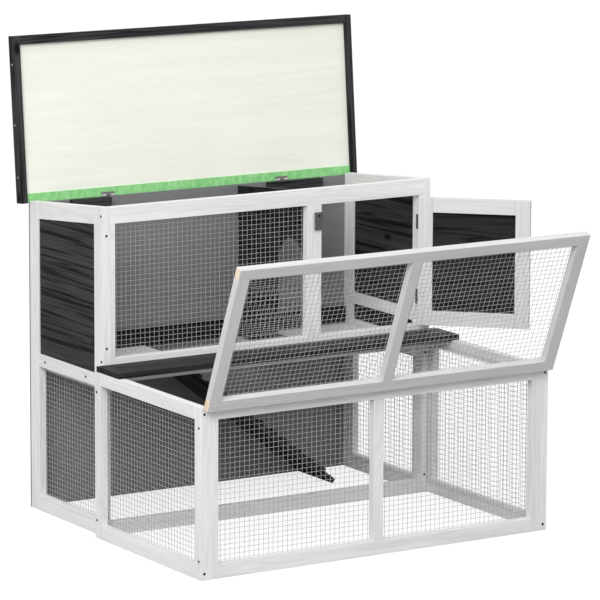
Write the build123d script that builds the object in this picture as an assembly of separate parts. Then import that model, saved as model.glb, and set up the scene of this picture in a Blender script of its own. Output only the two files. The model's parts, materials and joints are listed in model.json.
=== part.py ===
from build123d import *
import math
import os

os.makedirs("parts", exist_ok=True)

# Two-storey rabbit hutch: a tall rear module with a closed cabin upstairs, and a low mesh run in front.
# Millimetres. +Z up, +X to the right seen from the front, +Y towards the back.
# Origin: on the ground, at the centre of the cross rail that lies between the run and the rear module.

# ---- driving dimensions -------------------------------------------------------------------------
board = 20.0                 # thickness of every frame member

run_width = 1015.0           # over the outer faces of the run's side frames
run_reach = 508.0            # from the run's front face to the cabin's front face
run_height = 424.0
run_lap = 8.0                # the run's side frames lap this far past the cabin's front face
run_stile = 29.0             # face width of the run's uprights
run_top_rail = 33.0
run_bottom_rail = 36.0

cabin_depth = 380.0          # depth of the rear module's side frames
cabin_front_top = 836.0
cabin_back_top = 800.0
side_stile = 45.0            # face width of the rear module's uprights
side_top_rail = 44.0
side_mid_rail = (378.0, 411.0)
side_bottom_rail = 41.0
plank_count = 4              # full planks in each side wall, under the tapered one
plank_top = 758.0
plank_thick = 12.0
plank_recess = 4.0
wall_batten = (455.0, 485.0)

front_top_rail = (792.0, 834.0)
front_bottom_rail = (390.0, 453.0)
jamb_width = 15.0
jamb_depth = 29.0
post = (109.5, 153.5)        # the post between the window and the doorway

floor_top = 394.0
floor_thick = 9.0
bearer = 20.0                # the floor bearers and joists are square
hatch_x = (-157.5, 132.5)    # the ramp's opening in the floor
hatch_y = 194.0              # its front edge; it runs back to the rear wall
skirting = (394.0, 439.0)
skirting_thick = 10.0
divider_rail_top = 426.0
divider_thick = 12.0
divider_top_gap = 8.0
arch_radius = 72.0
arch_centre = (99.0, 620.0)  # y and z of the arch's centre
sheet_thick = 5.0
sheet_top = 795.0
hinge_block_z = (735.0, 795.0)
hinge_block_x = ((-371.0, -258.0), (221.0, 386.0))

ledge_depth = 112.0
ledge_thick = 14.0

wire_lattice_pitch = 52.0    # every fourth wire of the real mesh
wire_lattice_bar = 3.2
wire_lattice_thick = 1.2
mesh_lap = 10.0              # the mesh laps onto the back of its frame this far
mesh_end_gap = 1.0           # where the mesh stops short of a corner

pin_radius = 1.1
pin_clearance = 0.05
knuckle_radius = 2.2
knuckle_gap = 0.4
leaf_face = knuckle_radius + knuckle_gap    # from the pin's axis to the face a leaf is screwed to
leaf_thick = 0.9
leaf_depth = 15.0
leaf_width = 38.0
screw_radius = 3.2
screw_proud = 1.0

run_front_screws = (16.0, 407.0)             # heights on the front edges of the run's side frames
run_side_screws = (46.0, 373.0)              # heights on the run's outer uprights
cabin_front_screws = (48.0, 375.0, 479.0, 763.0)     # heights on the front edges of the rear side frames
cabin_side_screws = (445.0, 812.0)           # heights on the outer face of the rear module's front uprights
floor_screws = (80.0, 293.0)                 # y of the screws into the middle side rails
screw_inset = 9.0                            # from an upright's outer edge

roof_width = 1018.0
roof_length = 423.0          # from the hinge pin to the front arm's outer face
roof_arm = 18.0
roof_front_arm = 22.0
roof_arm_under = 10.0        # the arms hang this far below the panel's underside
roof_arm_deep = 28.0
roof_panel_thick = 9.0
felt_thick = 2.0
felt_strip = 24.0            # the felt is wrapped under the rear edge this far
roof_open = 95.2             # degrees from level
roof_clear = 0.6             # between the felt strip and the side walls when the roof is shut
roof_hinge_x = (-252.5, 273.5)
roof_leaf_depth = 7.5        # the leaves on the felt strip are short
roof_arm_end = 4.0           # the side arms end this far behind the hinge pin
roof_panel_end = 2.0
roof_screw_y = (-62.0, -196.0, -350.0)

run_lid_inset = 4.0
run_lid_length = 394.0
run_lid_thick = 20.0
run_lid_rail = 28.0
run_lid_stile = 32.0
run_lid_middle = 28.0
run_lid_open = 112.4
run_lid_hinge_x = (-300.0, 300.0)
run_lid_clear = 1.6          # between the lid and the run's frames when the lid is shut
run_lid_plate_depth = 7.5

door_gap = 2.0
door_z = (455.0, 790.0)
door_member = 38.0
door_panel_thick = 8.0
door_open = 137.0
door_hinge_z = (525.0, 722.0)

button_width = 24.0
button_length = 46.0
button_thick = 3.0
button_corner = 1.5
button_pivot_x = 142.5
button_pivot_z = 764.0
button_over = 9.0            # from the pivot to the button's upper end
button_gap = 3.0             # the collar that holds the button off the post
button_play = 0.4

ramp_y = (197.0, 364.0)
ramp_angle = 37.4
ramp_thick = 14.0
ramp_tread_high = 7.0
ramp_tread_long = 14.0
ramp_tread_count = 12
ramp_start = 8.5             # from the pin to the board's upper end
ramp_foot_clear = 0.5
ramp_leaf_depth = 24.0
ramp_hinge_y = (235.0, 326.0)

# ---- places that follow from them ---------------------------------------------------------------
half_run = run_width / 2
half_side = half_run - board             # outer face of the rear module's side frames
half_room = half_side - board            # inner face of them
cabin_front = -board / 2
cabin_inner = cabin_front + board
run_front = cabin_front - run_reach
run_inner = run_front + board
run_back = cabin_front + run_lap
back_face = cabin_front + cabin_depth
roof_slope = math.degrees(math.atan2(cabin_front_top - cabin_back_top, cabin_depth))
bearer_top = floor_top - floor_thick
bearer_bottom = bearer_top - bearer
SIDES = (("left", -1), ("right", 1))
STAND = (Align.CENTER, Align.CENTER, Align.MIN)


def wall_top(y):
    """Height of the side walls' sloping top edge at y."""
    return cabin_front_top - (y - cabin_front) * math.tan(math.radians(roof_slope))


# ---- building blocks ----------------------------------------------------------------------------
def block(x, y, z):
    """A square-cut member between two values of x, y and z."""
    centre = Pos((x[0] + x[1]) / 2, (y[0] + y[1]) / 2, (z[0] + z[1]) / 2)
    return centre * Box(x[1] - x[0], y[1] - y[0], z[1] - z[0])


def across(side, inner, outer):
    """The x span between two distances from the middle, on one side of the hutch."""
    return tuple(sorted((side * inner, side * outer)))


def side_profile(x, points):
    """A board with the given outline in y and z, between two values of x."""
    outline = make_face(Polyline(*points, close=True))
    return extrude(Plane.YZ.offset(x[0]) * outline, x[1] - x[0])


def sloped(x, y, bottom, drop=0.0):
    """A board whose top edge follows the side walls' slope, drop below it."""
    top = [wall_top(value) - drop for value in y]
    return side_profile(x, [(y[0], bottom), (y[1], bottom), (y[1], top[1]), (y[0], top[0])])


def lattice(width, height):
    """A flat wire lattice centred on the origin of the XY plane."""
    bays = [max(1, round(size / wire_lattice_pitch)) for size in (width, height)]
    pitch = [(size - wire_lattice_bar) / count for size, count in zip((width, height), bays)]
    holes = GridLocations(pitch[0], pitch[1], bays[0], bays[1])
    hole = Rectangle(pitch[0] - wire_lattice_bar, pitch[1] - wire_lattice_bar)
    return extrude(Rectangle(width, height) - holes * hole, wire_lattice_thick)


def mesh_on_side(side, inner, y, z):
    """Mesh on the inner face of a side frame."""
    middle = Pos(side * inner, (y[0] + y[1]) / 2, (z[0] + z[1]) / 2)
    return middle * Rot(0, -90 * side, 0) * lattice(z[1] - z[0], y[1] - y[0])


def mesh_on_front(x, inner, z):
    """Mesh on the inner face of a front frame."""
    middle = Pos((x[0] + x[1]) / 2, inner, (z[0] + z[1]) / 2)
    return middle * Rot(-90, 0, 0) * lattice(x[1] - x[0], z[1] - z[0])


def screw_head(place, direction):
    """The round head of a screw that stands on a face."""
    head = Cylinder(screw_radius, screw_proud, align=STAND)
    return Plane(origin=place, z_dir=direction) * head


def hinge_leaf(spans, bore, depth):
    """A leaf that runs along +Y from a pin on the X axis, and is screwed to a face above it."""
    level = (leaf_face - leaf_thick, leaf_face)
    half = leaf_width / 2
    leaf = block((-half, half), (leaf_face, depth), level)
    for start, end in spans:
        leaf += block((start, end), (0, leaf_face + knuckle_gap), level)
        leaf += Pos((start + end) / 2, 0, 0) * Rot(0, 90, 0) * Cylinder(knuckle_radius, end - start)
    return leaf - Rot(0, 90, 0) * Cylinder(bore, leaf_width)


def fixed_leaf(depth=leaf_depth):
    """The leaf with the two outer knuckles, which grip the pin."""
    inner_end = (leaf_width / 3 + knuckle_gap) / 2
    spans = [(-leaf_width / 2, -inner_end), (inner_end, leaf_width / 2)]
    return hinge_leaf(spans, pin_radius, depth)


def moving_leaf(depth=leaf_depth):
    """The leaf with the middle knuckle, which turns on the pin."""
    inner_end = (leaf_width / 3 - knuckle_gap) / 2
    return hinge_leaf([(-inner_end, inner_end)], pin_radius + pin_clearance, depth)


def pin():
    return Rot(0, 90, 0) * Cylinder(pin_radius, leaf_width)


def save(name, *shapes):
    solids = [solid for shape in shapes for solid in shape.solids()]
    export_step(Compound(solids), f"parts/{name}.step")


# ---- rear module: side frames, walls and back ---------------------------------------------------
def build_side(name, side):
    x = across(side, half_room, half_side)
    stile_front = (cabin_front, cabin_front + side_stile)
    stile_back = (back_face - side_stile, back_face)
    between = (stile_front[1], stile_back[0])
    save(f"front_stile_{name}", sloped(x, stile_front, 0))
    save(f"rear_stile_{name}", sloped(x, stile_back, 0))

    top = [wall_top(value) for value in between]
    rail_line = [(between[0], top[0] - side_top_rail), (between[1], top[1] - side_top_rail)]
    top_rail = side_profile(x, rail_line + [(between[1], top[1]), (between[0], top[0])])
    mid_rail = block(x, between, side_mid_rail)
    save(f"side_rails_{name}", top_rail, mid_rail, block(x, between, (0, side_bottom_rail)))

    outer = half_side - plank_recess
    plank_x = across(side, outer - plank_thick, outer)
    high = (plank_top - side_mid_rail[1]) / plank_count
    planks = []
    for number in range(plank_count):
        bottom = side_mid_rail[1] + number * high
        planks.append(block(plank_x, between, (bottom, bottom + high)))
    planks.append(sloped(plank_x, between, plank_top, side_top_rail))
    save(f"side_boards_{name}", *planks)

    mesh_y = (stile_front[1] - mesh_lap, stile_back[0] + mesh_lap)
    mesh_z = (side_bottom_rail - mesh_lap, side_mid_rail[0] + mesh_lap)
    save(f"side_mesh_{name}", mesh_on_side(side, half_room, mesh_y, mesh_z))


def build_wall_battens():
    between = (cabin_front + side_stile, back_face - side_stile)
    inner = half_side - plank_recess - plank_thick
    battens = [block(across(side, inner - board / 2, inner), between, wall_batten) for _, side in SIDES]
    save("wall_battens", *battens)


def build_back():
    width = (-half_side, half_side)
    save("back_sheet", block(width, (back_face, back_face + sheet_thick), (0, sheet_top)))
    room = (-half_room, half_room)
    save("skirting_board", block(room, (back_face - skirting_thick, back_face), skirting))
    deep = (back_face - board, back_face)
    save("hinge_blocks", *[block(x, deep, hinge_block_z) for x in hinge_block_x])


# ---- rear module: cabin front, floor and divider ------------------------------------------------
def build_cabin_front():
    room = (-half_room, half_room)
    deep = (cabin_front, cabin_inner)
    rails = [block(room, deep, z) for z in (front_bottom_rail, front_top_rail)]
    save("cabin_front_rails", *rails)
    opening = (front_bottom_rail[1], front_top_rail[0])
    jamb_y = (cabin_front, cabin_front + jamb_depth)
    jambs = [across(side, half_room - jamb_width, half_room) for _, side in SIDES]
    save("cabin_jambs", *[block(x, jamb_y, opening) for x in jambs])
    save("cabin_mid_post", block(post, deep, opening))
    mesh_x = (-half_room + jamb_width + mesh_end_gap, post[0] + mesh_lap)
    mesh_z = (opening[0] - mesh_lap, opening[1] + mesh_lap)
    save("window_mesh", mesh_on_front(mesh_x, cabin_inner, mesh_z))


def build_floor():
    side_outer = half_room - wire_lattice_thick
    thick = (bearer_top, floor_top)
    left_board = block((-side_outer, hatch_x[0]), (cabin_inner, back_face), thick)
    front_board = block(hatch_x, (cabin_inner, hatch_y), thick)
    right_board = block((hatch_x[1], side_outer), (cabin_inner, back_face), thick)
    save("floor_boards", left_board, front_board, right_board)

    level = (bearer_bottom, bearer_top)
    side_inner = side_outer - bearer
    rear = (back_face - bearer, back_face)
    header = (hatch_y - bearer, hatch_y)
    whole = (cabin_inner, back_face)
    bearers = [block(across(side, side_inner, side_outer), whole, level) for _, side in SIDES]
    bearers.append(block((-side_inner, side_inner), header, level))
    bearers.append(block((-side_inner, hatch_x[0]), rear, level))
    bearers.append(block((hatch_x[1], side_inner), rear, level))
    bearers.append(block((hatch_x[0] - bearer, hatch_x[0]), (header[1], rear[0]), level))
    bearers.append(block((hatch_x[1], hatch_x[1] + bearer), (header[1], rear[0]), level))
    save("floor_bearers", *bearers)


def build_divider():
    deep = (cabin_inner, back_face - skirting_thick)
    rail_x = (hatch_x[1] - board / 2, hatch_x[1] + board / 2)
    save("divider_rail", block(rail_x, deep, (floor_top, divider_rail_top)))
    x = (hatch_x[1] - divider_thick / 2, hatch_x[1] + divider_thick / 2)
    panel = sloped(x, deep, divider_rail_top, divider_top_gap)
    arch_y = (arch_centre[0] - arch_radius, arch_centre[0] + arch_radius)
    panel -= block(x, arch_y, (divider_rail_top, arch_centre[1]))
    round_top = Pos(hatch_x[1], *arch_centre) * Rot(0, 90, 0)
    panel -= round_top * Cylinder(arch_radius, divider_thick)
    save("divider_board", panel)


# ---- run: side frames, front frame, ground rail and ledge ---------------------------------------
def build_run_side(name, side):
    x = across(side, half_side, half_run)
    front = (run_front, run_front + run_stile)
    back = (run_back - run_stile, run_back)
    between = (front[1], back[0])
    save(f"run_side_stiles_{name}", *[block(x, y, (0, run_height)) for y in (front, back)])
    top = block(x, between, (run_height - run_top_rail, run_height))
    save(f"run_side_rails_{name}", block(x, between, (0, run_bottom_rail)), top)
    mesh_y = (run_inner + mesh_end_gap, cabin_front - mesh_end_gap)
    mesh_z = (run_bottom_rail - mesh_lap, run_height - run_top_rail + mesh_lap)
    save(f"run_side_mesh_{name}", mesh_on_side(side, half_side, mesh_y, mesh_z))


def build_run_front():
    deep = (run_front, run_inner)
    rails = ((0, run_bottom_rail), (run_height - run_top_rail, run_height))
    inner = half_side - run_stile
    stiles = [block(across(side, inner, half_side), deep, (0, run_height)) for _, side in SIDES]
    stiles.append(block((-run_stile / 2, run_stile / 2), deep, (rails[0][1], rails[1][0])))
    save("run_front_stiles", *stiles)
    save("run_front_rails", *[block((-inner, inner), deep, z) for z in rails])
    mesh_z = (rails[0][1] - mesh_lap, rails[1][0] + mesh_lap)
    bays = [across(side, run_stile / 2 - mesh_lap, inner + mesh_lap) for _, side in SIDES]
    save("run_front_mesh", *[mesh_on_front(bay, run_inner, mesh_z) for bay in bays])


def build_ground_rail():
    room = (-half_room, half_room)
    save("ground_rail", block(room, (cabin_front, cabin_inner), (0, run_bottom_rail)))


def build_ledge():
    deep = (cabin_front - ledge_depth, cabin_front)
    save("ledge_board", block((-half_run, half_run), deep, (run_height, run_height + ledge_thick)))


# ---- screws -------------------------------------------------------------------------------------
def build_frame_screws():
    """Screw heads on the outside of the fixed frames."""
    heads = []
    for _, side in SIDES:
        outward = (side, 0, 0)
        run_face = side * half_run
        side_face = side * half_side
        for z in run_front_screws:
            heads.append(screw_head((run_face - side * board / 2, run_front, z), (0, -1, 0)))
        for z in run_side_screws:
            heads.append(screw_head((run_face, run_front + screw_inset, z), outward))
            heads.append(screw_head((run_face, run_back - screw_inset, z), outward))
        for z in cabin_front_screws:
            heads.append(screw_head((side_face - side * board / 2, cabin_front, z), (0, -1, 0)))
        for z in cabin_side_screws:
            heads.append(screw_head((side_face, cabin_front + screw_inset, z), outward))
        for y in floor_screws:
            heads.append(screw_head((side_face, y, floor_top), outward))
    save("frame_screws", *heads)


# ---- roof lid: hinged along the back, drawn closed and level, then opened -----------------------
roof_pin_y = back_face + sheet_thick + leaf_face
roof_pin_z = wall_top(roof_pin_y) - leaf_face + roof_clear
panel_under = leaf_face + felt_thick
panel_over = panel_under + roof_panel_thick


def place_roof(shape):
    return Pos(0, roof_pin_y, roof_pin_z) * Rot(-roof_open, 0, 0) * shape


def build_roof():
    half = roof_width / 2
    inner = half - roof_arm
    under = panel_under - roof_arm_under
    deep = (under, under + roof_arm_deep)
    front_arm_y = (-roof_length, -roof_length + roof_front_arm)
    for name, side in SIDES:
        arm = block(across(side, inner, half), (-roof_length, roof_arm_end), deep)
        save(f"roof_arm_{name}", place_roof(arm))
    save("roof_arm_front", place_roof(block((-inner, inner), front_arm_y, deep)))

    width = (-inner, inner)
    front = front_arm_y[1]
    rear = roof_panel_end
    felt_end = rear + felt_thick
    save("roof_panel", place_roof(block(width, (front, rear), (panel_under, panel_over))))
    felt = block(width, (front, felt_end), (panel_over, panel_over + felt_thick))
    felt += block(width, (rear, felt_end), (leaf_face, panel_over))
    felt += block(width, (felt_end - felt_strip, rear), (leaf_face, panel_under))
    save("roof_felt", place_roof(felt))

    middle = (panel_under + panel_over) / 2
    heads = []
    for _, side in SIDES:
        for y in roof_screw_y:
            heads.append(screw_head((side * half, y, middle), (side, 0, 0)))
    save("roof_screws", *[place_roof(head) for head in heads])


def build_roof_hinges():
    moving = []
    fixed = []
    forward = Rot(0, 0, 180)
    downward = Rot(90, 0, 0) * forward
    for x in roof_hinge_x:
        moving.append(place_roof(Pos(x, 0, 0) * forward * moving_leaf(roof_leaf_depth)))
        fixed.append(Pos(x, roof_pin_y, roof_pin_z) * downward * fixed_leaf())
    save("roof_hinge_leaves", *moving)
    save("roof_hinge_plates", *fixed)
    return [Pos(x, roof_pin_y, roof_pin_z) * pin() for x in roof_hinge_x]


# ---- run lid: hinged along the run's front, drawn closed and level, then opened ------------------
run_pin_y = run_front - leaf_face
run_pin_z = run_height + run_lid_clear - leaf_face


def place_run_lid(shape):
    return Pos(0, run_pin_y, run_pin_z) * Rot(run_lid_open, 0, 0) * shape


def build_run_lid():
    half = half_run - run_lid_inset
    near = run_front - run_pin_y
    far = near + run_lid_length
    deep = (leaf_face, leaf_face + run_lid_thick)
    rails = [(near, near + run_lid_rail), (far - run_lid_rail, far)]
    save("run_lid_rails", *[place_run_lid(block((-half, half), y, deep)) for y in rails])
    between = (rails[0][1], rails[1][0])
    spans = [across(side, half - run_lid_stile, half) for _, side in SIDES]
    spans.append((-run_lid_middle / 2, run_lid_middle / 2))
    save("run_lid_stiles", *[place_run_lid(block(x, between, deep)) for x in spans])

    meshes = []
    high = between[1] - between[0] + 2 * mesh_lap
    middle_y = (between[0] + between[1]) / 2
    under = leaf_face - wire_lattice_thick
    for _, side in SIDES:
        bay = across(side, run_lid_middle / 2 - mesh_lap, half - run_lid_stile + mesh_lap)
        centre = Pos((bay[0] + bay[1]) / 2, middle_y, under)
        meshes.append(place_run_lid(centre * lattice(bay[1] - bay[0], high)))
    save("run_lid_mesh", *meshes)


def build_run_lid_hinges():
    downward = Rot(-90, 0, 0)
    plate = downward * fixed_leaf(run_lid_plate_depth)
    moving = [place_run_lid(Pos(x, 0, 0) * moving_leaf()) for x in run_lid_hinge_x]
    fixed = [Pos(x, run_pin_y, run_pin_z) * plate for x in run_lid_hinge_x]
    save("run_lid_hinge_leaves", *moving)
    save("run_lid_hinge_plates", *fixed)
    return [Pos(x, run_pin_y, run_pin_z) * pin() for x in run_lid_hinge_x]


# ---- cabin door: hinged on the right jamb, drawn closed, then opened ----------------------------
door_pin_x = half_room - jamb_width - leaf_face
door_pin_y = cabin_front - leaf_face


def place_door(shape):
    return Pos(door_pin_x, door_pin_y, 0) * Rot(0, 0, door_open) * shape


def build_door():
    near = -leaf_face
    far = post[1] + door_gap - door_pin_x
    deep = (cabin_front - door_pin_y, cabin_inner - door_pin_y)
    stiles = ((far, far + door_member), (near - door_member, near))
    save("door_stiles", *[place_door(block(x, deep, door_z)) for x in stiles])
    between = (stiles[0][1], stiles[1][0])
    rails = ((door_z[0], door_z[0] + door_member), (door_z[1] - door_member, door_z[1]))
    save("door_rails", *[place_door(block(between, deep, z)) for z in rails])
    middle = (deep[0] + deep[1]) / 2
    panel_y = (middle - door_panel_thick / 2, middle + door_panel_thick / 2)
    save("door_panel", place_door(block(between, panel_y, (rails[0][1], rails[1][0]))))


def build_door_hinges():
    """The leaves lie in the seam between the jamb and the door."""
    on_door = Rot(0, -90, 0)
    on_jamb = Rot(0, 90, 0)
    leaves = [place_door(Pos(0, 0, z) * on_door * moving_leaf()) for z in door_hinge_z]
    save("door_hinge_leaves", *leaves)
    places = [Pos(door_pin_x, door_pin_y, z) * on_jamb for z in door_hinge_z]
    save("door_hinge_plates", *[place * fixed_leaf() for place in places])
    return [place * pin() for place in places]


# ---- turn button --------------------------------------------------------------------------------
def build_turn_button():
    x = (button_pivot_x - button_width / 2, button_pivot_x + button_width / 2)
    y = (cabin_front - button_gap - button_thick, cabin_front - button_gap)
    z = (button_pivot_z + button_over - button_length, button_pivot_z + button_over)
    plate = block(x, y, z)
    plate = fillet(plate.edges().filter_by(Axis.Y), button_corner)
    hole = Pos(button_pivot_x, (y[0] + y[1]) / 2, button_pivot_z) * Rot(90, 0, 0)
    save("turn_button", plate - hole * Cylinder(pin_radius + pin_clearance, button_thick * 2))

    pivot = Pos(button_pivot_x, cabin_front, button_pivot_z) * Rot(90, 0, 0)
    collar = button_gap - button_play
    reach = button_gap + button_thick + button_play
    screw = Cylinder(screw_radius, collar, align=STAND) + Cylinder(pin_radius, reach, align=STAND)
    screw += Pos(0, 0, reach) * Cylinder(screw_radius, screw_proud, align=STAND)
    save("button_screw", pivot * screw)


# ---- ramp: hinged at the hatch, drawn level, then let down --------------------------------------
ramp_pin_x = hatch_x[0] + leaf_face
ramp_pin_z = bearer_top - leaf_face
ramp_over = leaf_face - leaf_thick
ramp_under = ramp_over - ramp_thick
ramp_drop = ramp_pin_z - ramp_foot_clear + ramp_under * math.cos(math.radians(ramp_angle))
ramp_length = ramp_drop / math.sin(math.radians(ramp_angle))


def place_ramp(shape):
    return Pos(ramp_pin_x, 0, ramp_pin_z) * Rot(0, ramp_angle, 0) * shape


def build_ramp():
    save("ramp_board", place_ramp(block((ramp_start, ramp_length), ramp_y, (ramp_under, ramp_over))))
    first = ramp_leaf_depth + ramp_tread_long
    pitch = (ramp_length - first) / ramp_tread_count
    treads = []
    for number in range(ramp_tread_count):
        middle = first + number * pitch
        span = (middle - ramp_tread_long / 2, middle + ramp_tread_long / 2)
        treads.append(place_ramp(block(span, ramp_y, (ramp_over, ramp_over + ramp_tread_high))))
    save("ramp_treads", *treads)


def build_ramp_hinges():
    on_ramp = Rot(0, 0, -90)
    on_joist = Rot(0, 90, 0) * Rot(0, 0, -90) * Rot(0, 180, 0)
    leaves = [place_ramp(Pos(0, y, 0) * on_ramp * moving_leaf(ramp_leaf_depth)) for y in ramp_hinge_y]
    save("ramp_hinge_leaves", *leaves)
    places = [Pos(ramp_pin_x, y, ramp_pin_z) * on_joist for y in ramp_hinge_y]
    save("ramp_hinge_plates", *[place * fixed_leaf() for place in places])
    return [place * pin() for place in places]


for side_name, side_sign in SIDES:
    build_side(side_name, side_sign)
    build_run_side(side_name, side_sign)
build_wall_battens()
build_back()
build_cabin_front()
build_floor()
build_divider()
build_run_front()
build_ground_rail()
build_ledge()
build_frame_screws()
build_roof()
build_run_lid()
build_door()
build_turn_button()
build_ramp()
pins = build_roof_hinges() + build_run_lid_hinges() + build_door_hinges() + build_ramp_hinges()
save("hinge_pins", *pins)
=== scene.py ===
"""Looks for the rabbit hutch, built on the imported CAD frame. Metres, +Z up, -Y is the front."""
import json
import math
import random

import bmesh
import bpy
from mathutils import Matrix, Vector


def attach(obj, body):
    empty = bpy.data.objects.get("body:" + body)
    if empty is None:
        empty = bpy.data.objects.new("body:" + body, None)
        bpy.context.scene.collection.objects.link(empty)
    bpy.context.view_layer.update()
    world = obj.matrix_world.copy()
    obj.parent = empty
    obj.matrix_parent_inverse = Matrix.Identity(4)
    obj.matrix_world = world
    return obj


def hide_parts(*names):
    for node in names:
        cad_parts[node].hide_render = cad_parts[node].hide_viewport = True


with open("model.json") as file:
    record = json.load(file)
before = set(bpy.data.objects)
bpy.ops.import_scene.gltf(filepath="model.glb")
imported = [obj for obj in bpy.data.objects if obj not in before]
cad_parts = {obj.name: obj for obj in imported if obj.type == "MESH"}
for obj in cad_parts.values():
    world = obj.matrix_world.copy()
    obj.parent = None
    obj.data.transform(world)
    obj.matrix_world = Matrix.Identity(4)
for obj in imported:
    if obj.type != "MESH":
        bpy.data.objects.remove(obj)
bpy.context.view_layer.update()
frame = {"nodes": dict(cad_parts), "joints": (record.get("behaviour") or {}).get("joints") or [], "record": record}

# ---- camera --------------------------------------------------------------------------------------
CAMERA_PLACE = (-5.3084, -8.5924, 2.406)
CAMERA_YAW = 32.166
CAMERA_PITCH = -10.375
CAMERA_ROLL = 0.282
CAMERA_LENS = 241.95
CAMERA_SENSOR = 36.0
CAMERA_REACH = 100.0

# ---- light ---------------------------------------------------------------------------------------
SKY_LIGHT = 0.98             # the sky's strength as light; the camera sees it at full white
KEY_PLACE = (-4.60, -4.40, 4.40)
KEY_AIM = (0, 0, 0.4)
KEY_SIZE = 4.0
KEY_WATTS = 330.0
FLOOR_SIZE = 60.0
FLOOR_BOUNCE = 0.26          # the floor's colour as the hutch sees it
FLOOR_COLOUR = 0.24          # and as the camera sees it, with the glow added
FLOOR_GLOW = 0.80

# ---- rounding of the CAD shapes ------------------------------------------------------------------
EDGE_ROUND = 0.0009
PLANK_ROUND = 0.0014
SHEET_ROUND = 0.0004
FELT_ROUND = 0.0006
STEEL_ROUND = 0.0002
SCREW_ROUND = 0.0003
ROUND_STEPS = 3
FLAT_ANGLE = 2
SHARP_ANGLE = 30
TIMBER_CREASE = 35
SAME_PLACE = 1e-6

# ---- grain: frequencies per metre along and across it, in a member's own axes --------------------
RINGS = (1.6, 19.0, 15.0)    # along, across, and how many rings one swing of the noise makes
BLACK_RINGS = (0.45, 24.0, 18.0)
FIBRES = (7.0, 330.0, 330.0)
BLOTCHES = (2.6, 30.0, 30.0)
BANDS = (2.2, 85.0, 85.0)
KNOTS = (6.0, 11.0, 11.0)
KNOT_EDGE = (0.06, 0.15)     # where a knot's heart ends and where its rim ends, in cells
KNOT_PULL = 0.16             # how far a knot bends the rings round it
MEMBER_SHIFT = 23.0          # sets each member's grain apart from its neighbours'
MEMBER_TONE = 0.25
SHADE_SHARE = 0.42
CREST_RELIEF = 0.35
GRAIN_RELIEF = 0.35

# ---- paints: the base, its shaded streaks, and the grain lines -----------------------------------
WHITE = ((0.845, 0.84, 0.83), (0.68, 0.68, 0.68), (0.52, 0.515, 0.51))
# the cabin floor's white paint, made brighter and bluer than WHITE: painted light from the sky falling into the
# cabin
SKYLIT_FLOOR_WHITE = ((0.93, 0.93, 0.96), (0.86, 0.86, 0.89), (0.76, 0.76, 0.79))
# darker white for the run lid: painted shade for its faces, which lean out over the run and face down
SHADED_LID_WHITE = ((0.68, 0.68, 0.675), (0.57, 0.57, 0.57), (0.48, 0.48, 0.475))
# darker white for the door: painted shade on the open door's faces, which the lamps light too brightly
SHADED_DOOR_WHITE = ((0.70, 0.70, 0.70), (0.58, 0.58, 0.58), (0.48, 0.48, 0.48))
BLACK = ((0.056, 0.057, 0.058), (0.027, 0.028, 0.030), (0.003, 0.003, 0.0035))
# darker black for the ledge: painted shade on its top face, which faces the light from above
SHADED_LEDGE_BLACK = ((0.036, 0.0375, 0.040), (0.018, 0.019, 0.021), (0.003, 0.003, 0.003))
DEEP_BLACK = ((0.028, 0.029, 0.031), (0.014, 0.015, 0.016), (0.003, 0.003, 0.0035))
# near-black for the rounded edges of the side boards: painted shade in the grooves between the boards
SEAM_SHADE_BLACK = ((0.004, 0.004, 0.004), (0.003, 0.003, 0.003), (0.002, 0.002, 0.002))
CREAM = ((0.87, 0.875, 0.79), (0.80, 0.81, 0.73), (0.71, 0.72, 0.65))
GREY = ((0.200, 0.202, 0.207), (0.176, 0.178, 0.183), (0.150, 0.152, 0.157))
BARE = ((0.86, 0.74, 0.58), (0.79, 0.65, 0.49), (0.62, 0.46, 0.32))
FELT_GREEN = (0.22, 0.60, 0.21)
FELT_PALE_GREEN = (0.37, 0.74, 0.33)
FELT_DARK_GREEN = (0.12, 0.40, 0.12)

# ---- wire mesh -----------------------------------------------------------------------------------
WIRE_RADIUS = 0.00055
WIRE_PITCH = (0.0137, 0.0125)
WIRE_STEP = 0.055
WIRE_WAVE = 0.00022
WIRE_WELD = 0.8              # the two layers sink into each other at the welds
WIRE_CREASE = 70
WIRE_SIDES = 6

# ---- screw heads: shares of a head's radius or height --------------------------------------------
HEAD_WALL = 0.45
HEAD_CROWN = 0.86
SLOT_REACH = 0.62
SLOT_WIDTH = 0.20
SLOT_DEPTH = 0.75
HEAD_SIDES = 28
HEAD_CREASE = 30

# ---- how far the moving groups stand open in the CAD, in degrees ---------------------------------
LID_OPEN = 112.4
ROOF_OPEN = 95.2
DOOR_OPEN = 137.0
RAMP_ANGLE = 37.4

JOINTS = {joint["name"]: joint for joint in frame["joints"]}
BODY_OF = {node: body for body, nodes in frame["record"]["behaviour"]["bodies"].items() for node in nodes}
SLOT_OF = {part["node"]: part["material_slot"] for part in frame["record"]["subparts"]}


# ---- shader helpers ------------------------------------------------------------------------------
def add_node(tree, kind, inputs=None, **settings):
    """Adds a node; each input is a constant or another node's output."""
    made = tree.nodes.new(kind)
    for key, value in settings.items():
        setattr(made, key, value)
    for key, value in (inputs or {}).items():
        if isinstance(value, bpy.types.NodeSocket):
            tree.links.new(value, made.inputs[key])
        else:
            made.inputs[key].default_value = value
    return made


def new_material(name):
    """An empty material with its shader and output joined."""
    material = bpy.data.materials.new(name)
    material.use_nodes = True
    tree = material.node_tree
    tree.nodes.clear()
    shader = add_node(tree, "ShaderNodeBsdfPrincipled")
    add_node(tree, "ShaderNodeOutputMaterial", {"Surface": shader.outputs["BSDF"]})
    return material, tree, shader


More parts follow.
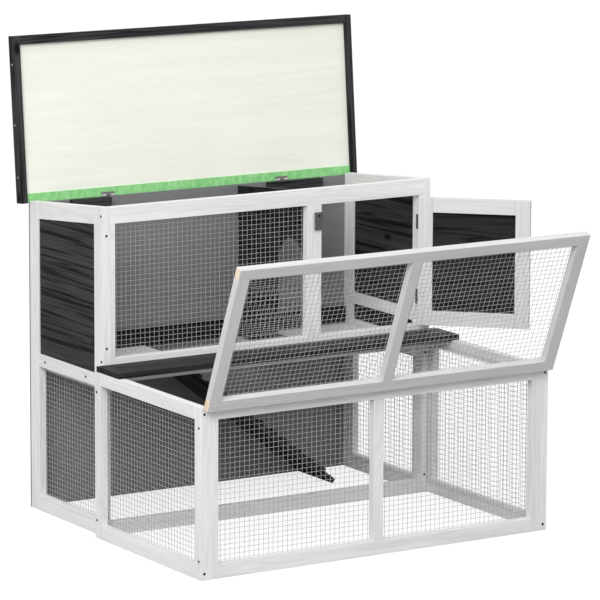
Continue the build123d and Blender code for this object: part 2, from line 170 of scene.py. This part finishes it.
def blend_colours(tree, share, first, second):
    made = add_node(tree, "ShaderNodeMix", data_type="RGBA")
    for socket, value in ((made.inputs[0], share), (made.inputs[6], first), (made.inputs[7], second)):
        if isinstance(value, bpy.types.NodeSocket):
            tree.links.new(value, socket)
        else:
            socket.default_value = value if isinstance(value, float) else (*value, 1)
    return made.outputs[2]


def remap(tree, value, low, high, to_low=0.0, to_high=1.0):
    made = add_node(tree, "ShaderNodeMapRange", {"Value": value, "From Min": low, "From Max": high})
    made.inputs["To Min"].default_value = to_low
    made.inputs["To Max"].default_value = to_high
    return made.outputs["Result"]


def maths(tree, operation, first, second=0.0):
    return add_node(tree, "ShaderNodeMath", {0: first, 1: second}, operation=operation).outputs[0]


def noise(tree, coords, scale, detail=2.0, rough=0.5):
    stretched = add_node(tree, "ShaderNodeMapping", {"Vector": coords, "Scale": scale}).outputs[0]
    made = add_node(tree, "ShaderNodeTexNoise", {"Vector": stretched, "Scale": 1.0, "Detail": detail})
    made.inputs["Roughness"].default_value = rough
    return made.outputs["Fac"]


def bump(tree, shader, height, strength, distance):
    inputs = {"Height": height, "Strength": strength, "Distance": distance}
    made = add_node(tree, "ShaderNodeBump", inputs)
    tree.links.new(made.outputs["Normal"], shader.inputs["Normal"])


def grain_coords(tree, along):
    """Object coordinates with X along the grain, shifted by a random amount for each separate member."""
    place = add_node(tree, "ShaderNodeTexCoord").outputs["Object"]
    turn = Vector(along).rotation_difference(Vector((1, 0, 0))).to_euler()
    turned = add_node(tree, "ShaderNodeMapping", {"Vector": place, "Rotation": turn}).outputs[0]
    island = add_node(tree, "ShaderNodeNewGeometry").outputs["Random Per Island"]
    shift = maths(tree, "MULTIPLY", island, MEMBER_SHIFT)
    moved = add_node(tree, "ShaderNodeVectorMath", {0: turned, 1: shift}, operation="ADD")
    return moved.outputs[0], island


def knot_marks(tree, coords):
    """Scattered knots: 1 at the heart of a knot, fading to 0 at its rim."""
    stretched = add_node(tree, "ShaderNodeMapping", {"Vector": coords, "Scale": KNOTS}).outputs[0]
    cells = add_node(tree, "ShaderNodeTexVoronoi", {"Vector": stretched, "Scale": 1.0})
    return remap(tree, cells.outputs["Distance"], *KNOT_EDGE, 1.0, 0.0)


def wood(name, along, colours, roughness, line_share, bump_depth, shine=0.4, rings=RINGS):
    """Painted or bare timber: growth rings bent round knots, with fibres and blotches along the grain."""
    material, tree, shader = new_material(name)
    coords, island = grain_coords(tree, along)
    base, shade, line = colours
    knots = knot_marks(tree, coords)
    frequency, across, count = rings
    heart = noise(tree, coords, (frequency, across, across), detail=1.5)
    bent = maths(tree, "ADD", heart, maths(tree, "MULTIPLY", knots, KNOT_PULL))
    ring = maths(tree, "FRACT", maths(tree, "MULTIPLY", bent, count))
    off_crest = maths(tree, "ABSOLUTE", maths(tree, "SUBTRACT", ring, 0.5))
    crest = remap(tree, off_crest, 0.0, 0.22, 1.0, 0.0)
    fibres = noise(tree, coords, FIBRES, detail=4.0, rough=0.65)
    blotches = noise(tree, coords, BLOTCHES, detail=3.0)

    streaks = remap(tree, fibres, 0.36, 0.64)
    tone = remap(tree, blotches, 0.35, 0.65)
    member = remap(tree, island, 0.0, 1.0, 0.0, MEMBER_TONE)
    shading = maths(tree, "ADD", tone, maths(tree, "ADD", streaks, member))
    colour = blend_colours(tree, maths(tree, "MULTIPLY", shading, SHADE_SHARE), base, shade)

    lines = maths(tree, "MULTIPLY", crest, remap(tree, blotches, 0.25, 0.5))
    bands = remap(tree, noise(tree, coords, BANDS, detail=2.0), 0.54, 0.64)
    lines = maths(tree, "MAXIMUM", lines, maths(tree, "MAXIMUM", bands, knots))
    colour = blend_colours(tree, maths(tree, "MULTIPLY", lines, line_share), colour, line)
    tree.links.new(colour, shader.inputs["Base Color"])

    dullness = remap(tree, streaks, 0.0, 1.0, roughness - 0.06, roughness + 0.08)
    tree.links.new(dullness, shader.inputs["Roughness"])
    shader.inputs["Specular IOR Level"].default_value = shine
    height = maths(tree, "SUBTRACT", fibres, maths(tree, "MULTIPLY", crest, CREST_RELIEF))
    bump(tree, shader, height, GRAIN_RELIEF, bump_depth)
    return material


def metal(name, colour, metallic, roughness, spots):
    """Plated or blackened steel, with faint cloudy patches."""
    material, tree, shader = new_material(name)
    place = add_node(tree, "ShaderNodeTexCoord").outputs["Object"]
    clouds = noise(tree, place, (spots, spots, spots), detail=4.0)
    darker = tuple(0.7 * part for part in colour)
    clouded = blend_colours(tree, remap(tree, clouds, 0.35, 0.7), colour, darker)
    dullness = remap(tree, clouds, 0.3, 0.7, roughness - 0.08, roughness + 0.1)
    tree.links.new(clouded, shader.inputs["Base Color"])
    tree.links.new(dullness, shader.inputs["Roughness"])
    shader.inputs["Metallic"].default_value = metallic
    bump(tree, shader, clouds, 0.15, 0.0001)
    return material


def mineral_felt(name):
    """Green roofing felt: fine stone granules over a mottled ground."""
    material, tree, shader = new_material(name)
    place = add_node(tree, "ShaderNodeTexCoord").outputs["Object"]
    dabs = noise(tree, place, (90.0, 60.0, 45.0), detail=4.0, rough=0.7)
    grit = add_node(tree, "ShaderNodeTexVoronoi", {"Vector": place, "Scale": 900.0})
    colour = blend_colours(tree, remap(tree, dabs, 0.4, 0.62), FELT_GREEN, FELT_PALE_GREEN)
    speck = remap(tree, grit.outputs["Color"], 0.0, 1.0, 0.0, 0.35)
    colour = blend_colours(tree, speck, colour, FELT_DARK_GREEN)
    tree.links.new(colour, shader.inputs["Base Color"])
    shader.inputs["Roughness"].default_value = 0.92
    bump(tree, shader, grit.outputs["Distance"], 0.5, 0.0004)
    return material


# ---- mesh helpers --------------------------------------------------------------------------------
def add_piece(name, mesh, material, body, slot, *nodes):
    """Makes an object of a mesh, and lets it stand for CAD nodes on a body."""
    piece = bpy.data.objects.new(name, mesh)
    bpy.context.scene.collection.objects.link(piece)
    for item in material if isinstance(material, (list, tuple)) else [material]:
        piece.data.materials.append(item)
    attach(piece, body)
    if nodes:
        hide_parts(*nodes)
    return piece


def finish_mesh(name, shape, crease):
    """Turns a bmesh into a smooth mesh that is sharp where faces meet at more than crease degrees."""
    mesh = bpy.data.meshes.new(name)
    shape.to_mesh(mesh)
    shape.free()
    mesh.shade_smooth()
    mesh.set_sharp_from_angle(angle=math.radians(crease))
    return mesh


def solids_of(node):
    """The faces of each solid in a node, as lists of corners. Each solid closes before the next begins."""
    mesh = frame["nodes"][node].data
    open_edges, faces = set(), []
    for face in mesh.polygons:
        corners = [mesh.vertices[index].co for index in face.vertices]
        faces.append(corners)
        keys = [corner.to_tuple(6) for corner in corners]
        for edge in zip(keys, keys[1:] + keys[:1]):
            open_edges ^= {frozenset(edge)}
        if not open_edges:
            yield faces
            faces = []


def rounded_copy(node, radius, edge_slot):
    """The node's solids with flat faces made whole and every sharp edge rounded over."""
    whole = bmesh.new()
    carrier = bpy.data.meshes.new("carrier")
    for faces in solids_of(node):
        shape = bmesh.new()
        for corners in faces:
            shape.faces.new([shape.verts.new(corner) for corner in corners])
        bmesh.ops.remove_doubles(shape, verts=shape.verts, dist=SAME_PLACE)
        bmesh.ops.dissolve_limit(
            shape, angle_limit=math.radians(FLAT_ANGLE), verts=shape.verts, edges=shape.edges,
            use_dissolve_boundaries=False,
        )
        limit = math.radians(SHARP_ANGLE)
        sharp = [edge for edge in shape.edges if edge.is_manifold and edge.calc_face_angle() > limit]
        bmesh.ops.bevel(
            shape, geom=sharp, offset=radius, segments=ROUND_STEPS, profile=0.5, affect="EDGES",
            clamp_overlap=True, material=edge_slot,
        )
        shape.to_mesh(carrier)
        shape.free()
        whole.from_mesh(carrier)
    bpy.data.meshes.remove(carrier)
    return finish_mesh(node, whole, TIMBER_CREASE)


def dress(node, material, radius=EDGE_ROUND, edge_material=None):
    """Replaces a CAD node by its rounded copy in a finished material; the rounding may have its own."""
    mesh = rounded_copy(node, radius, 1 if edge_material else -1)
    materials = [material, edge_material] if edge_material else [material]
    piece = add_piece(f"{node}_finished", mesh, materials, BODY_OF[node], SLOT_OF[node], node)
    flatten = piece.modifiers.new("flat_faces", "WEIGHTED_NORMAL")
    flatten.weight = 100
    flatten.keep_sharp = True
    return piece


# ---- stage ---------------------------------------------------------------------------------------
def make_camera():
    yaw, pitch, roll = (math.radians(angle) for angle in (CAMERA_YAW, CAMERA_PITCH, CAMERA_ROLL))
    ahead = Vector((math.sin(yaw) * math.cos(pitch), math.cos(yaw) * math.cos(pitch), math.sin(pitch)))
    level = Vector((math.cos(yaw), -math.sin(yaw), 0))
    above = level.cross(ahead)
    right = math.cos(roll) * level + math.sin(roll) * above
    up = math.cos(roll) * above - math.sin(roll) * level
    turn = Matrix((right, up, -ahead)).transposed()
    camera = bpy.data.objects.new("camera", bpy.data.cameras.new("camera"))
    bpy.context.scene.collection.objects.link(camera)
    camera.matrix_world = Matrix.Translation(CAMERA_PLACE) @ turn.to_4x4()
    camera.data.lens = CAMERA_LENS
    camera.data.sensor_width = CAMERA_SENSOR
    camera.data.clip_end = CAMERA_REACH
    bpy.context.scene.camera = camera


def add_lamp(name, place, aim, size, watts):
    lamp = bpy.data.objects.new(name, bpy.data.lights.new(name, "AREA"))
    bpy.context.scene.collection.objects.link(lamp)
    lamp.data.shape = "DISK"
    lamp.data.size = size
    lamp.data.energy = watts
    lamp.location = place
    lamp.rotation_euler = (Vector(aim) - Vector(place)).to_track_quat("-Z", "Y").to_euler()


def make_stage():
    scene = bpy.context.scene
    scene.view_settings.view_transform = "Standard"
    world = bpy.data.worlds.new("studio")
    scene.world = world
    world.use_nodes = True
    tree = world.node_tree
    seen = add_node(tree, "ShaderNodeLightPath").outputs["Is Camera Ray"]
    strength = remap(tree, seen, 0.0, 1.0, SKY_LIGHT, 1.0)
    tree.links.new(strength, tree.nodes["Background"].inputs["Strength"])
    tree.nodes["Background"].inputs["Color"].default_value = (1.0, 1.0, 1.0, 1)
    add_lamp("key", KEY_PLACE, KEY_AIM, KEY_SIZE, KEY_WATTS)

    bpy.ops.mesh.primitive_plane_add(size=FLOOR_SIZE)
    floor = bpy.context.object
    floor.name = "studio_floor"
    material, tree, shader = new_material("studio_floor")
    seen = add_node(tree, "ShaderNodeLightPath").outputs["Is Camera Ray"]
    pale = blend_colours(tree, seen, (FLOOR_BOUNCE,) * 3, (FLOOR_COLOUR,) * 3)
    tree.links.new(pale, shader.inputs["Base Color"])
    shader.inputs["Roughness"].default_value = 1.0
    shader.inputs["Specular IOR Level"].default_value = 0.0
    shader.inputs["Emission Color"].default_value = (1.0, 1.0, 1.0, 1)
    tree.links.new(maths(tree, "MULTIPLY", seen, FLOOR_GLOW), shader.inputs["Emission Strength"])
    floor.data.materials.append(material)


# ---- timber --------------------------------------------------------------------------------------
def direction(first, second, angle):
    """A unit vector that far round from one axis towards another."""
    turned = math.radians(angle)
    return Vector(first) * math.cos(turned) + Vector(second) * math.sin(turned)


def both_sides(*parts):
    return [f"{part}_{side}" for side in ("left", "right") for part in parts]


def make_timber():
    across, along, upright = (1, 0, 0), (0, 1, 0), (0, 0, 1)
    lid_run = direction(along, upright, LID_OPEN)
    roof_run = direction(upright, along, ROOF_OPEN - 90)
    door_run = direction(across, along, DOOR_OPEN - 180)
    ramp_run = direction(across, upright, -RAMP_ANGLE)
    white = {"colours": WHITE, "roughness": 0.56, "line_share": 0.26, "bump_depth": 0.0005}
    # the lid's darker white is painted shade
    shaded_lid_white = {**white, "colours": SHADED_LID_WHITE}
    # the door's darker white is painted shade
    shaded_door_white = {**white, "colours": SHADED_DOOR_WHITE}
    black = {
        "colours": BLACK, "roughness": 0.50, "line_share": 0.92, "bump_depth": 0.0009, "shine": 0.1,
        "rings": BLACK_RINGS,
    }
    # the ledge's darker black is painted shade
    shaded_ledge_black = {**black, "colours": SHADED_LEDGE_BLACK}
    deep_black = {**black, "colours": DEEP_BLACK}

    side_uprights = both_sides("front_stile", "rear_stile", "run_side_stiles")
    side_rails = both_sides("side_rails", "run_side_rails")
    front_uprights = ["run_front_stiles", "cabin_jambs", "cabin_mid_post"]
    front_rails = ["cabin_front_rails", "run_front_rails", "ground_rail", "floor_bearers"]
    table = (
        ("white_upright", white, upright, side_uprights + front_uprights),
        ("white_along", white, along, side_rails + ["wall_battens"]),
        ("white_across", white, across, front_rails),
        # the floor boards' brighter, bluer white is painted light
        ("floor_across", {**white, "colours": SKYLIT_FLOOR_WHITE}, across, ["floor_boards"]),
        ("lid_across", shaded_lid_white, across, ["run_lid_rails"]),
        ("lid_along", shaded_lid_white, lid_run, ["run_lid_stiles"]),
        ("door_upright", shaded_door_white, upright, ["door_stiles"]),
        ("door_across", shaded_door_white, door_run, ["door_rails"]),
        ("black_along", black, along, ["ramp_treads"]),
        ("deep_black_along", deep_black, along, ["divider_board", "divider_rail"]),
        ("deep_black_across", deep_black, across, ["skirting_board"]),
        ("black_across", black, across, ["hinge_blocks", "roof_arm_front"]),
        ("dark_black_across", shaded_ledge_black, across, ["ledge_board"]),
        ("black_roof", black, roof_run, ["roof_arm_left", "roof_arm_right"]),
        ("black_door", deep_black, door_run, ["door_panel"]),
        ("black_ramp", black, ramp_run, ["ramp_board"]),
    )
    for name, paint, grain, nodes in table:
        material = wood(name, grain, **paint)
        for node in nodes:
            dress(node, material)
    boards = wood("black_boards", along, **black)
    # the boards' rounded edges take the near-black seam colour, painted shade between the planks
    seam = wood("board_seam_shade", along, **{**black, "colours": SEAM_SHADE_BLACK})
    for node in both_sides("side_boards"):
        dress(node, boards, PLANK_ROUND, seam)

    sawn = wood("bare_end", upright, BARE, roughness=0.7, line_share=0.6, bump_depth=0.0006)
    bare_ends(bpy.data.objects["run_lid_rails_finished"], sawn)
    cream = wood("cream_panel", across, CREAM, roughness=0.6, line_share=0.22, bump_depth=0.0003)
    dress("roof_panel", cream)
    grey = wood("grey_sheet", across, GREY, roughness=0.5, line_share=0.2, bump_depth=0.0002)
    dress("back_sheet", grey, SHEET_ROUND)


def bare_ends(piece, material):
    """Leaves the sawn ends of members that run across the hutch unpainted."""
    piece.data.materials.append(material)
    for face in piece.data.polygons:
        if abs(face.normal.x) > 0.9:
            face.material_index = 1


# ---- wire mesh -----------------------------------------------------------------------------------
def add_wire(shape, start, end, jitter):
    """A round wire from start to end that wanders slightly on its way."""
    length = (end - start).length
    steps = max(2, round(length / WIRE_STEP))
    along = (end - start).normalized()
    side = along.orthogonal().normalized()
    other = along.cross(side)
    rings = []
    for step in range(steps + 1):
        centre = start.lerp(end, step / steps)
        if 0 < step < steps:
            sway = jitter.uniform(-WIRE_WAVE, WIRE_WAVE)
            drift = jitter.uniform(-WIRE_WAVE, WIRE_WAVE)
            centre += side * sway + other * drift
        ring = []
        for corner in range(WIRE_SIDES):
            angle = 2 * math.pi * corner / WIRE_SIDES
            outward = math.cos(angle) * side + math.sin(angle) * other
            ring.append(shape.verts.new(centre + WIRE_RADIUS * outward))
        rings.append(ring)
    for first, second in zip(rings, rings[1:]):
        for corner in range(WIRE_SIDES):
            following = (corner + 1) % WIRE_SIDES
            shape.faces.new((first[corner], first[following], second[following], second[corner]))
    shape.faces.new(list(reversed(rings[0])))
    shape.faces.new(rings[-1])


def weave_bay(shape, low, high, turn, jitter):
    """Welded mesh over one bay. low and high are corners in axes that turn maps to the row frame."""
    thin = min(range(3), key=lambda axis: high[axis] - low[axis])
    wide, tall = [axis for axis in range(3) if axis != thin]
    level = (low[thin] + high[thin]) / 2
    offset = WIRE_RADIUS * WIRE_WELD
    layers = ((tall, wide, WIRE_PITCH[0], -offset), (wide, tall, WIRE_PITCH[1], offset))
    for run, step_axis, pitch, offset in layers:
        span = high[step_axis] - low[step_axis]
        count = round(span / pitch)
        for number in range(count + 1):
            start, end = [0.0] * 3, [0.0] * 3
            start[thin] = end[thin] = level + offset
            start[step_axis] = end[step_axis] = low[step_axis] + span * number / count
            start[run], end[run] = low[run], high[run]
            add_wire(shape, turn @ Vector(start), turn @ Vector(end), jitter)


def boxes_of(node, turn):
    """The low and high corners of each solid in a node, in axes that turn maps to the row frame."""
    back = turn.inverted()
    found = []
    for faces in solids_of(node):
        points = [back @ corner for corners in faces for corner in corners]
        low = [min(point[axis] for point in points) for axis in range(3)]
        high = [max(point[axis] for point in points) for axis in range(3)]
        found.append((low, high))
    return sorted(found)


def opened(joint, angle):
    """Carries a closed moving group to where it stands in the CAD."""
    place = Vector(JOINTS[joint]["pos_m"])
    turn = Matrix.Rotation(math.radians(angle), 4, Vector(JOINTS[joint]["axis"]))
    return Matrix.Translation(place) @ turn @ Matrix.Translation(-place)


def make_mesh_panels():
    wire = metal("galvanised_wire", (0.52, 0.52, 0.53), 0.30, 0.45, 90.0)
    nodes = both_sides("side_mesh") + both_sides("run_side_mesh")
    nodes += ["window_mesh", "run_front_mesh", "run_lid_mesh"]
    for number, node in enumerate(nodes):
        jitter = random.Random(100 + number)
        turn = opened("run_lid_hinge", LID_OPEN) if node == "run_lid_mesh" else Matrix.Identity(4)
        shape = bmesh.new()
        for low, high in boxes_of(node, turn):
            weave_bay(shape, low, high, turn, jitter)
        mesh = finish_mesh(node, shape, WIRE_CREASE)
        add_piece(f"{node}_wires", mesh, wire, BODY_OF[node], SLOT_OF[node], node)


# ---- felt and fittings ---------------------------------------------------------------------------
def ring_of(shape, radius, height):
    ring = []
    for side in range(HEAD_SIDES):
        angle = 2 * math.pi * side / HEAD_SIDES
        ring.append(shape.verts.new((radius * math.cos(angle), radius * math.sin(angle), height)))
    return ring


def bridge(shape, lower, upper):
    for side in range(len(lower)):
        following = (side + 1) % len(lower)
        shape.faces.new((lower[side], lower[following], upper[following], upper[side]))


def screw_head(shape, radius, height, place):
    """A round head with a cross slot, standing on place's XY plane."""
    before = len(shape.verts)
    base = ring_of(shape, radius, 0.0)
    wall = ring_of(shape, radius, height * HEAD_WALL)
    rim = ring_of(shape, radius * HEAD_CROWN, height)
    shape.faces.new(list(reversed(base)))
    bridge(shape, base, wall)
    bridge(shape, wall, rim)
    reach, half = radius * SLOT_REACH, radius * SLOT_WIDTH / 2
    quarter = ((reach, -half), (reach, half), (half, half))
    outline = []
    for turn in range(4):
        cosine, sine = round(math.cos(turn * math.pi / 2)), round(math.sin(turn * math.pi / 2))
        outline += [(x * cosine - y * sine, x * sine + y * cosine) for x, y in quarter]
    mouth = [shape.verts.new((x, y, height)) for x, y in outline]
    floor = [shape.verts.new((x, y, height * (1 - SLOT_DEPTH))) for x, y in outline]
    bridge(shape, mouth, floor)
    shape.faces.new(floor)
    loops = []
    for loop in (rim, mouth):
        loops += [shape.edges.get((loop[side], loop[side - 1])) for side in range(len(loop))]
    bmesh.ops.triangle_fill(shape, use_beauty=True, edges=loops, normal=(0, 0, 1))
    shape.verts.ensure_lookup_table()
    bmesh.ops.transform(shape, matrix=place, verts=shape.verts[before:])


def screw_heads(node, material, turn=Matrix.Identity(4)):
    """Slotted heads in place of a node's plain ones, each turned by its own amount."""
    jitter = random.Random(7)
    shape = bmesh.new()
    for low, high in boxes_of(node, turn):
        size = [high[axis] - low[axis] for axis in range(3)]
        thin = size.index(min(size))
        centre = Vector([(low[axis] + high[axis]) / 2 for axis in range(3)])
        outward = Vector((0, 0, 0))
        outward[thin] = math.copysign(1, centre.x if thin == 0 else -1)
        foot = centre - outward * size[thin] / 2
        frame_turn = outward.to_track_quat("Z", "Y").to_matrix().to_4x4()
        spin = Matrix.Rotation(jitter.uniform(0, math.pi / 2), 4, "Z")
        screw_head(shape, max(size) / 2, size[thin], turn @ Matrix.Translation(foot) @ frame_turn @ spin)
    bmesh.ops.recalc_face_normals(shape, faces=shape.faces)
    mesh = finish_mesh(node, shape, HEAD_CREASE)
    add_piece(f"{node}_slotted", mesh, material, BODY_OF[node], SLOT_OF[node], node)


def make_fittings():
    dress("roof_felt", mineral_felt("green_felt"), FELT_ROUND)
    steel = metal("hinge_steel", (0.15, 0.147, 0.147), 0.5, 0.42, 200.0)
    roof_steel = {
        "roof_hinge_leaves": metal("warm_steel", (0.22, 0.19, 0.20), 0.3, 0.45, 200.0),
        "roof_hinge_plates": metal("bright_steel", (0.55, 0.54, 0.56), 0.3, 0.40, 200.0),
    }
    for node, slot in SLOT_OF.items():
        if slot == "hinge_steel":
            dress(node, roof_steel.get(node, steel), STEEL_ROUND)
    dark = metal("dark_screw", (0.010, 0.010, 0.011), 0.0, 0.80, 400.0)
    dark.node_tree.nodes["Principled BSDF"].inputs["Specular IOR Level"].default_value = 0.2
    dress("button_screw", dark, SCREW_ROUND)
    screw_heads("frame_screws", dark)
    plated = metal("roof_screw", (0.42, 0.42, 0.43), 0.6, 0.4, 400.0)
    screw_heads("roof_screws", plated, opened("roof_hinge", ROOF_OPEN))


make_camera()
make_stage()
make_timber()
make_mesh_panels()
make_fittings()
